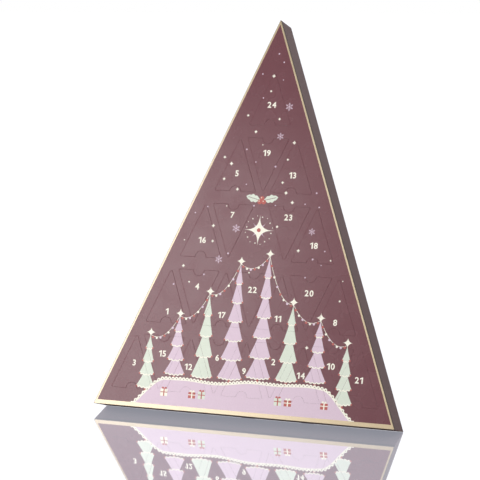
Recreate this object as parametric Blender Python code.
"""Chocolate advent calendar: a triangular card case with 24 numbered doors that leans back on a card easel.

Behind the doors a thermoformed tray holds one chocolate in each pocket. All lengths are in metres. The pieces
are modelled in the face's own frame: X to the right, Y into the case, Z up along the face, with the origin in
the middle of the front's lower edge. One empty carries them all and leans them back.
"""

import math
from dataclasses import dataclass

import bmesh
import bpy

# Door lattice: rows of triangles that point up and down by turns
DOOR_WIDTH = 0.0558
DOOR_HEIGHT = 0.0689
DOOR_STRIP = 0.00935
ROW_STRIP = 0.0164
BASE_MARGIN = 0.0229
LOW_SIDE_MARGIN = 0.0130
TOP_SIDE_MARGIN = 0.0262
DOOR_KERF = 0.0004
DOOR_CORNER_RADIUS = 0.0010
NOTCH_RADIUS = 0.0075
NOTCH_STEPS = 8

# Printed numbers by row from the top; None is the place without a door
NUMBER_ROWS = (
    (24,),
    (5, 19, 13),
    (16, 7, None, 23, 18),
    (1, 4, 17, 22, 11, 20, 8),
    (3, 15, 12, 6, 9, 2, 14, 10, 21),
)

# Case
CASE_DEPTH = 0.0375
LEAN_DEGREES = 16.0
FRONT_CARD = 0.0008
WALL_CARD = 0.0010
SEAT_GAP = 0.0003

# Tray
TRAY_WALL = 0.0005
MOUTH_INSET = 0.0010
POCKET_DRAFT_DEGREES = 4.0
# Each section's rows, counted from the top
TRAY_ROWS = {"tray_top": (0, 1, 2), "tray_middle": (3,), "tray_base": (4,)}

# Twist-wrapped balls
BALL_RADIUS = 0.0125
BALL_BANDS = 6
NECK_RADIUS = 0.0022
FAN_REACH = 0.0090
FAN_THICKNESS = 0.0050
FAN_MIDDLE_SHARE = 0.66
PLEAT_DEPTH_SHARE = 0.16
WRAP_SEGMENTS = 12

# Bare pralines
PRALINE_HEIGHT = 0.0190
PRALINE_DEPTH = 0.0150
PRALINE_SIDE_GAP = 0.0009
PRALINE_FLUTE = 0.0012
PRALINE_END_DROP = 0.0024
PRALINE_CROWN = 0.0030
PRALINE_FLUTES = 9
BLOCK_EDGE = 0.0016
SHARP_DEGREES = 50.0

# Easel
EASEL_CARD = 0.0012
EASEL_KERF = 0.0004
EASEL_HALF_WIDTH = 0.0400
EASEL_CREASE_LOW = 0.0700
EASEL_CREASE_HIGH = 0.2350
WING_REACH = 0.1130
WING_TIP_REACH = 0.0100
WING_FOOT = 0.0220
WING_ARCH = 0.0120
WING_HEEL = 0.0060
SPREADER_REACH = 0.0550

# Foil and chocolate colours: linear red, green and blue, roughness, metallic
FOILS = {
    "blue": ((0.02, 0.16, 0.45), 0.25, 1.0),
    "silver": ((0.72, 0.74, 0.76), 0.25, 1.0),
    "green": ((0.10, 0.42, 0.33), 0.25, 1.0),
    "copper": ((0.50, 0.17, 0.07), 0.25, 1.0),
    "gold": ((0.72, 0.52, 0.12), 0.25, 1.0),
    "purple": ((0.16, 0.05, 0.40), 0.25, 1.0),
    "dark": ((0.035, 0.014, 0.009), 0.40, 0.0),
    "caramel": ((0.36, 0.15, 0.045), 0.45, 0.0),
}
PRALINES = {3: "dark", 9: "caramel", 11: "caramel", 16: "dark", 17: "dark", 24: "caramel"}
FOIL_TURN = ("blue", "silver", "green", "copper", "gold", "purple")


@dataclass(frozen=True)
class Place:
    """One door's place on the face: the middle of its level edge, and which way the triangle points."""

    number: int
    x: float
    z: float
    up: bool

    def put(self, points):
        """Carry points of the upward triangle's own frame to the face."""
        turn = 1 if self.up else -1
        return [(self.x + turn * x, self.z + turn * z) for x, z in points]


# Derived sizes
HALF_DOOR = DOOR_WIDTH / 2
COLUMN_PITCH = HALF_DOOR + DOOR_STRIP
ROW_PITCH = DOOR_HEIGHT + ROW_STRIP
ROW_COUNT = len(NUMBER_ROWS)
ROW_RISE = ROW_PITCH * (ROW_COUNT - 1)
LOW_HALF_WIDTH = (ROW_COUNT - 1) * COLUMN_PITCH + HALF_DOOR + LOW_SIDE_MARGIN
TOP_HALF_WIDTH = HALF_DOOR + TOP_SIDE_MARGIN
FACE_TAPER = (LOW_HALF_WIDTH - TOP_HALF_WIDTH) / ROW_RISE
HALF_FACE = LOW_HALF_WIDTH + BASE_MARGIN * FACE_TAPER
FACE_HEIGHT = HALF_FACE / FACE_TAPER
LEAN = math.radians(LEAN_DEGREES)

DOOR_HALF_ANGLE = math.atan2(HALF_DOOR, DOOR_HEIGHT)
FLANGE_DEPTH = FRONT_CARD + SEAT_GAP
POCKET_END = CASE_DEPTH - WALL_CARD - SEAT_GAP
POCKET_FLOOR = POCKET_END - TRAY_WALL
POCKET_DRAFT = math.radians(POCKET_DRAFT_DEGREES)


def pocket_inset(depth):
    """How far a pocket's wall lies inside the door's outline at a depth."""
    return MOUTH_INSET + (depth - FLANGE_DEPTH) * math.tan(POCKET_DRAFT)


def row_base(row):
    """Height of a row's lower edge on the face."""
    return BASE_MARGIN + (ROW_COUNT - 1 - row) * ROW_PITCH


def places():
    """Every door's place, row by row."""
    found = []
    for row, numbers in enumerate(NUMBER_ROWS):
        base = row_base(row)
        for column, number in enumerate(numbers):
            up = column % 2 == 0
            if number is not None:
                z = base if up else base + DOOR_HEIGHT
                found.append(Place(number, (column - row) * COLUMN_PITCH, z, up))
    return found


def inset_triangle(half, height, inset):
    """An upward triangle moved in by an inset on each side: left, right and top corners."""
    slope = math.hypot(half, height)
    base_shift = inset * (slope + half) / height
    top_shift = inset * slope / half
    return [(-half + base_shift, inset), (half - base_shift, inset), (0.0, height - top_shift)]


def rounded(corners, radius, steps):
    """Corners turned into arcs, each with the same number of steps."""
    points = []
    for index, (x, z) in enumerate(corners):
        before, after = corners[index - 1], corners[(index + 1) % len(corners)]
        angle_in = math.atan2(z - before[1], x - before[0])
        angle_out = math.atan2(after[1] - z, after[0] - x)
        turn = (angle_out - angle_in) % (2 * math.pi)
        back = radius * math.tan(turn / 2)
        start_x, start_z = x - back * math.cos(angle_in), z - back * math.sin(angle_in)
        centre_x = start_x - radius * math.sin(angle_in)
        centre_z = start_z + radius * math.cos(angle_in)
        for step in range(steps + 1):
            angle = angle_in - math.pi / 2 + turn * step / steps
            points.append((centre_x + radius * math.cos(angle), centre_z + radius * math.sin(angle)))
    return points


def door_outline(grow, corner_radius=0.0):
    """The upward door triangle grown by a length, with the half-moon tab's arc in its level edge."""
    corners = inset_triangle(HALF_DOOR, DOOR_HEIGHT, -grow)
    if corner_radius:
        corners = rounded(corners, corner_radius, 1)
    radius = NOTCH_RADIUS - grow
    start = math.asin(-grow / radius)
    arc = []
    for step in range(NOTCH_STEPS + 1):
        angle = math.pi - start - (math.pi - 2 * start) * step / NOTCH_STEPS
        arc.append((radius * math.cos(angle), radius * math.sin(angle)))
    left = len(corners) // 3
    return [*corners[:left], *arc, *corners[left:]]


def pocket_outline(inset):
    """The upward pocket's outline at an inset."""
    return inset_triangle(HALF_DOOR, DOOR_HEIGHT, inset)


def ring(bm, outline, depth):
    """A closed ring of vertices and edges at one depth."""
    verts = [bm.verts.new((x, depth, z)) for x, z in outline]
    for first, second in zip(verts, verts[1:] + verts[:1]):
        bm.edges.new((first, second))
    return verts


def wall(bm, near, far):
    """Quads between two rings of as many points."""
    count = len(near)
    for index in range(count):
        after = (index + 1) % count
        bm.faces.new((near[index], near[after], far[after], far[index]))


def sheet(bm, rings):
    """A flat sheet inside the first ring and outside the others."""
    edges = []
    for verts in rings:
        edges += [bm.edges.get(pair) for pair in zip(verts, verts[1:] + verts[:1])]
    bmesh.ops.triangle_fill(bm, use_beauty=True, use_dissolve=False, edges=edges)


def add_object(name, bm, material, parent):
    """Close a bmesh into a named object under a parent."""
    bmesh.ops.recalc_face_normals(bm, faces=bm.faces)
    mesh = bpy.data.meshes.new(name)
    bm.to_mesh(mesh)
    bm.free()
    mesh.materials.append(material)
    obj = bpy.data.objects.new(name, mesh)
    bpy.context.scene.collection.objects.link(obj)
    obj.parent = parent
    return obj


def plate(name, outline, holes, near, far, material, parent):
    """A flat plate between two depths, with holes through it."""
    bm = bmesh.new()
    fronts, backs = [], []
    for loop in (outline, *holes):
        front, back = ring(bm, loop, near), ring(bm, loop, far)
        wall(bm, front, back)
        fronts.append(front)
        backs.append(back)
    sheet(bm, fronts)
    sheet(bm, backs)
    return add_object(name, bm, material, parent)


def principled(name, colour, roughness, metallic=0.0):
    """A plain material with a colour, a roughness and a metallic value."""
    material = bpy.data.materials.new(name)
    material.use_nodes = True
    shader = material.node_tree.nodes["Principled BSDF"]
    shader.inputs["Base Color"].default_value = (*colour, 1.0)
    shader.inputs["Roughness"].default_value = roughness
    shader.inputs["Metallic"].default_value = metallic
    return material


def face_outline(inset):
    """The face's triangle, moved in on each side."""
    return inset_triangle(HALF_FACE, FACE_HEIGHT, inset)


def make_front(found, parent):
    """Front card with an opening for each door; every opening keeps its half-moon tab."""
    holes = [place.put(door_outline(DOOR_KERF / 2)) for place in found]
    card = principled("printed_card_front", (0.20, 0.09, 0.12), 0.45)
    plate("front_panel", face_outline(0.0), holes, 0.0, FRONT_CARD, card, parent)


def make_doors(found, parent):
    """Doors that swing out on a crease along their left slanted edge, in the card's front surface."""
    card = principled("printed_card_door", (0.27, 0.14, 0.18), 0.45)
    for place in found:
        crease_x = place.x - HALF_DOOR / 2
        crease_z = place.z + (DOOR_HEIGHT if place.up else -DOOR_HEIGHT) / 2
        outline = place.put(door_outline(-DOOR_KERF / 2, DOOR_CORNER_RADIUS))
        own = [(x - crease_x, z - crease_z) for x, z in outline]
        door = plate(f"door_{place.number:02d}", own, (), 0.0, FRONT_CARD, card, parent)
        door.location = (crease_x, 0.0, crease_z)


def make_case(parent):
    """Side walls and base wall between the front and the back panel, mitred at the corners."""
    card = principled("dark_card", (0.10, 0.075, 0.072), 0.55)
    outer, inner = face_outline(0.0), face_outline(WALL_CARD)
    names = ("base_wall", "side_wall_right", "side_wall_left")
    for index, name in enumerate(names):
        after = (index + 1) % len(outer)
        corners = [outer[index], outer[after], inner[after], inner[index]]
        plate(name, shorten(corners), (), FLANGE_DEPTH, POCKET_END, card, parent)
    back = principled("grey_board_back", (0.30, 0.26, 0.22), 0.8)
    plate("back_panel", face_outline(0.0), (), CASE_DEPTH - WALL_CARD, CASE_DEPTH, back, parent)


def shorten(corners):
    """A mitred wall's outline with both ends drawn in, so that neighbours keep the seat gap."""
    (ax, az), (bx, bz), (cx, cz), (dx, dz) = corners
    length = math.hypot(bx - ax, bz - az)
    along_x, along_z = (bx - ax) / length, (bz - az) / length
    ends = []
    for outer_x, outer_z, inner_x, inner_z in ((ax, az, dx, dz), (bx, bz, cx, cz)):
        mitre = math.hypot(inner_x - outer_x, inner_z - outer_z)
        across = abs(along_x * (inner_z - outer_z) - along_z * (inner_x - outer_x)) / mitre
        ends.append(SEAT_GAP / 2 / across)
    start, end = ends
    return [
        (ax + along_x * start, az + along_z * start),
        (bx - along_x * end, bz - along_z * end),
        (cx - along_x * end, cz - along_z * end),
        (dx + along_x * start, dz + along_z * start),
    ]


def tray_rim(rows):
    """Outline of a tray section: the case's inside, cut level between the rows above and below."""
    (_, low), (half, _), (_, apex) = face_outline(WALL_CARD + SEAT_GAP)
    slope = half / (apex - low)
    strip = (ROW_STRIP - SEAT_GAP) / 2
    if rows[-1] < ROW_COUNT - 1:
        low = row_base(rows[-1]) - strip
    rim = [(-(apex - low) * slope, low), ((apex - low) * slope, low)]
    if rows[0] == 0:
        return [*rim, (0.0, apex)]
    high = row_base(rows[0]) + DOOR_HEIGHT + strip
    return [*rim, ((apex - high) * slope, high), (-(apex - high) * slope, high)]


def make_trays(found, parent):
    """Thermoformed tray sections: a flange behind the front card and one tapered pocket behind each door."""
    plastic = principled("formed_tray_plastic", (0.22, 0.12, 0.05), 0.35)
    flange_back = FLANGE_DEPTH + TRAY_WALL
    for name, rows in TRAY_ROWS.items():
        bm = bmesh.new()
        rim = tray_rim(rows)
        fronts, backs = [ring(bm, rim, FLANGE_DEPTH)], [ring(bm, rim, flange_back)]
        wall(bm, fronts[0], backs[0])
        for place in found:
            if not any(place.number in NUMBER_ROWS[row] for row in rows):
                continue
            mouth, floor = (
                ring(bm, place.put(pocket_outline(pocket_inset(depth))), depth)
                for depth in (FLANGE_DEPTH, POCKET_FLOOR)
            )
            collar, end = (
                ring(bm, place.put(pocket_outline(pocket_inset(depth) - TRAY_WALL)), depth)
                for depth in (flange_back, POCKET_END)
            )
            wall(bm, mouth, floor)
            wall(bm, collar, end)
            bm.faces.new(floor)
            bm.faces.new(end)
            fronts.append(mouth)
            backs.append(collar)
        sheet(bm, fronts)
        sheet(bm, backs)
        add_object(name, bm, plastic, parent)


def ball_seat():
    """Height of a wrapped ball's middle over the door's level edge, where both slanted walls hold it."""
    depth = POCKET_FLOOR - SEAT_GAP - BALL_RADIUS
    reach = (BALL_RADIUS + SEAT_GAP) / math.cos(POCKET_DRAFT) + pocket_inset(depth)
    return DOOR_HEIGHT * (1 - reach / math.cos(DOOR_HALF_ANGLE) / HALF_DOOR), depth


def wrap_rings():
    """Rings of a wrapped ball from its lower to its upper fan: height, half width, half depth, pleat."""
    seat, depth = ball_seat()
    floor_inset = pocket_inset(depth + FAN_THICKNESS / 2)
    low_tip = floor_inset + SEAT_GAP - seat
    side_inset = (pocket_inset(depth + FAN_REACH) + SEAT_GAP) / math.cos(DOOR_HALF_ANGLE)
    high_tip = DOOR_HEIGHT * (1 - (side_inset + FAN_THICKNESS / 2) / HALF_DOOR) - seat
    neck = math.sqrt(BALL_RADIUS**2 - NECK_RADIUS**2)
    thin, wide = FAN_THICKNESS / 2, FAN_REACH
    middle = wide * FAN_MIDDLE_SHARE
    rings = [
        (low_tip, wide, thin, PLEAT_DEPTH_SHARE),
        ((low_tip - neck) / 2, middle, thin, PLEAT_DEPTH_SHARE),
    ]
    for band in range(BALL_BANDS + 1):
        height = -neck * math.cos(math.pi * band / BALL_BANDS)
        radius = math.sqrt(BALL_RADIUS**2 - height**2)
        rings.append((height, radius, radius, 0.0))
    rings += [
        ((high_tip + neck) / 2, thin, middle, PLEAT_DEPTH_SHARE),
        (high_tip, thin, wide, PLEAT_DEPTH_SHARE),
    ]
    return rings


def wrapped_mesh(bm):
    """A foil-wrapped ball with a pleated fan at each end, about its own middle."""
    loops = []
    for height, half_width, half_depth, pleat in wrap_rings():
        loop = []
        for segment in range(WRAP_SEGMENTS):
            angle = 2 * math.pi * segment / WRAP_SEGMENTS
            swell = 1 - pleat * (segment % 2)
            across, along = half_width * swell * math.cos(angle), half_depth * swell * math.sin(angle)
            loop.append(bm.verts.new((across, along, height)))
        loops.append(loop)
    for lower, upper in zip(loops, loops[1:]):
        wall(bm, lower, upper)
    bm.faces.new(loops[0])
    bm.faces.new(loops[-1])


def praline_mesh(bm, fluted):
    """A bare praline on its back face: a crowned bar, fluted along both long sides or with soft edges."""
    bottom = pocket_inset(POCKET_FLOOR) + SEAT_GAP
    wall_inset = pocket_inset(POCKET_FLOOR) / math.cos(DOOR_HALF_ANGLE)
    half_length = HALF_DOOR * (1 - (bottom + PRALINE_HEIGHT) / DOOR_HEIGHT) - wall_inset - PRALINE_SIDE_GAP
    half_height = PRALINE_HEIGHT / 2
    foot, crown = PRALINE_DEPTH / 2, -PRALINE_DEPTH / 2
    profile = ((foot, 0.0), (crown + PRALINE_CROWN, 0.0), (crown, PRALINE_CROWN))
    loops = []
    for depth, inset in profile:
        outline = praline_outline(half_length - inset, half_height - inset, fluted)
        loops.append(ring(bm, outline, depth))
    for near, far in zip(loops, loops[1:]):
        wall(bm, near, far)
    bm.faces.new(loops[0])
    bm.faces.new(loops[-1])
    return bottom + half_height


def praline_outline(half_length, half_height, fluted):
    """A bar's outline in the face plane: flutes along both long sides, or chamfered corners."""
    if not fluted:
        edge = BLOCK_EDGE
        return [
            (-half_length, edge - half_height),
            (edge - half_length, -half_height),
            (half_length - edge, -half_height),
            (half_length, edge - half_height),
            (half_length, half_height - edge),
            (half_length - edge, half_height),
            (edge - half_length, half_height),
            (-half_length, half_height - edge),
        ]
    points = []
    for side in (-1, 1):
        for step in range(PRALINE_FLUTES):
            x = side * half_length * (1 - 2 * step / (PRALINE_FLUTES - 1))
            dip = PRALINE_FLUTE if step % 2 else 0.0
            end = PRALINE_END_DROP if step in (0, PRALINE_FLUTES - 1) else 0.0
            points.append((x, side * (half_height - dip - end)))
    return points


def make_chocolates(found, parent):
    """One chocolate in each pocket, seated on the pocket's walls and floor."""
    finishes = {name: principled(f"chocolate_{name}", *values) for name, values in FOILS.items()}
    for place in found:
        bm = bmesh.new()
        kind = PRALINES.get(place.number)
        if kind:
            seat = praline_mesh(bm, kind == "dark")
            depth = POCKET_FLOOR - SEAT_GAP - PRALINE_DEPTH / 2
        else:
            kind = FOIL_TURN[place.number % len(FOIL_TURN)]
            wrapped_mesh(bm)
            seat, depth = ball_seat()
        chocolate = add_object(f"chocolate_{place.number:02d}", bm, finishes[kind], parent)
        ((x, z),) = place.put([(0.0, seat)])
        chocolate.location = (x, depth, z)
        chocolate.rotation_euler = (0.0, 0.0 if place.up else math.pi, 0.0)
        chocolate.data.shade_smooth()
        chocolate.data.set_sharp_from_angle(angle=math.radians(SHARP_DEGREES))


def make_easel(parent):
    """Easel behind the case: a glued plate, two wings that stand square to it and a flap between them."""
    board = principled("easel_board", (0.34, 0.27, 0.19), 0.85)
    glue_face = CASE_DEPTH + SEAT_GAP
    crease_depth = glue_face + EASEL_CARD
    half, low, high = EASEL_HALF_WIDTH, EASEL_CREASE_LOW, EASEL_CREASE_HIGH
    strip = [(-half, low), (half, low), (half, high), (-half, high)]
    plate("easel_plate", strip, (), glue_face, crease_depth, board, parent)

    def floor(reach):
        """Height of the floor over the wing's origin, at a reach behind the wing's crease."""
        return (crease_depth - CASE_DEPTH + reach) * math.tan(LEAN) - low

    crease = EASEL_KERF / 2
    top = high - low
    heel = WING_REACH - WING_FOOT
    outline = [
        (crease, WING_HEEL + floor(heel)),
        (heel, WING_ARCH + floor(heel)),
        (heel, floor(heel)),
        (WING_REACH, floor(WING_REACH)),
        (WING_REACH, floor(WING_REACH) + WING_HEEL),
        (WING_TIP_REACH, top),
        (crease, top),
    ]
    for side, name in ((1, "easel_wing_right"), (-1, "easel_wing_left")):
        flat = [(side * x, z) for x, z in outline]
        wing = plate(name, flat, (), -EASEL_CARD, 0.0, board, parent)
        wing.location = (side * (half + crease), crease_depth, low)
        wing.rotation_euler = (0.0, 0.0, side * math.pi / 2)

    width = half - SEAT_GAP
    flap = [(-width, -SPREADER_REACH), (width, -SPREADER_REACH), (width, -crease), (-width, -crease)]
    spreader = plate("easel_spreader", flap, (), -EASEL_CARD, 0.0, board, parent)
    spreader.location = (0.0, crease_depth, low - crease)
    spreader.rotation_euler = (math.pi / 2, 0.0, 0.0)


def main():
    """Build the calendar under one leaning empty, with its feet on the floor and its box over the origin."""
    for obj in list(bpy.data.objects):
        bpy.data.objects.remove(obj, do_unlink=True)
    face = bpy.data.objects.new("face_frame", None)
    bpy.context.scene.collection.objects.link(face)
    depth = CASE_DEPTH * math.cos(LEAN) + FACE_HEIGHT * math.sin(LEAN)
    face.location = (0.0, -depth / 2, CASE_DEPTH * math.sin(LEAN))
    face.rotation_euler = (-LEAN, 0.0, 0.0)
    found = places()
    make_front(found, face)
    make_doors(found, face)
    make_case(face)
    make_trays(found, face)
    make_chocolates(found, face)
    make_easel(face)


main()
